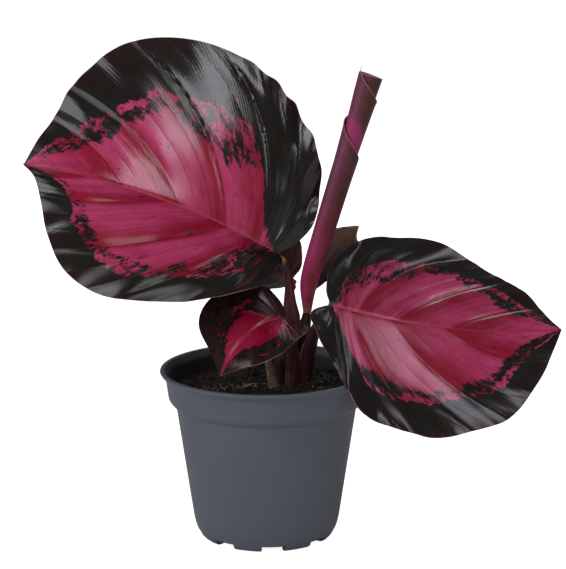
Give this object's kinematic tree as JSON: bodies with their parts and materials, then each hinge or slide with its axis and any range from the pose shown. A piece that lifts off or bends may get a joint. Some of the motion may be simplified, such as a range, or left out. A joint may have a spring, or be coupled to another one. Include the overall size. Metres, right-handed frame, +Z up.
{
  "type": "potted calathea",
  "caption": "Potted foliage plant with broad waved leaves, a rolled new leaf and stalks in soil, standing in a round nursery pot.",
  "frame": {"origin": "centre of the pot's base, on the surface it stands on", "axes": "+Z up; +X to the right seen from the front, towards the right leaf's tip; the front faces -Y"},
  "size_m": [0.3034, 0.1263, 0.2806],
  "materials": {
    "pot": "satin dark grey moulded plastic",
    "potting_soil": "moist dark peat",
    "rhizome_and_roots": "pale brown root",
    "leaf": "glossy leaf, dark rim round a pink centre",
    "older_leaf": "dull maroon leaf back",
    "rolled_leaf": "satin purple leaf back",
    "stalk": "satin maroon stalk",
    "dried_stalk": "dry tan fibre"
  },
  "bodies": {
    "root": {"pot": "pot", "potting_soil": "potting_soil", "rhizome_and_roots": "rhizome_and_roots", "left_leaf": "leaf", "right_leaf": "leaf", "front_leaf": "leaf", "back_left_leaf": "older_leaf", "back_right_leaf": "older_leaf", "rolled_leaf": "rolled_leaf", "left_petiole": "stalk", "right_petiole": "stalk", "front_petiole": "stalk", "back_left_petiole": "stalk", "back_right_petiole": "stalk", "rolled_petiole": "stalk", "dried_stub": "dried_stalk"}
  },
  "joints": []
}
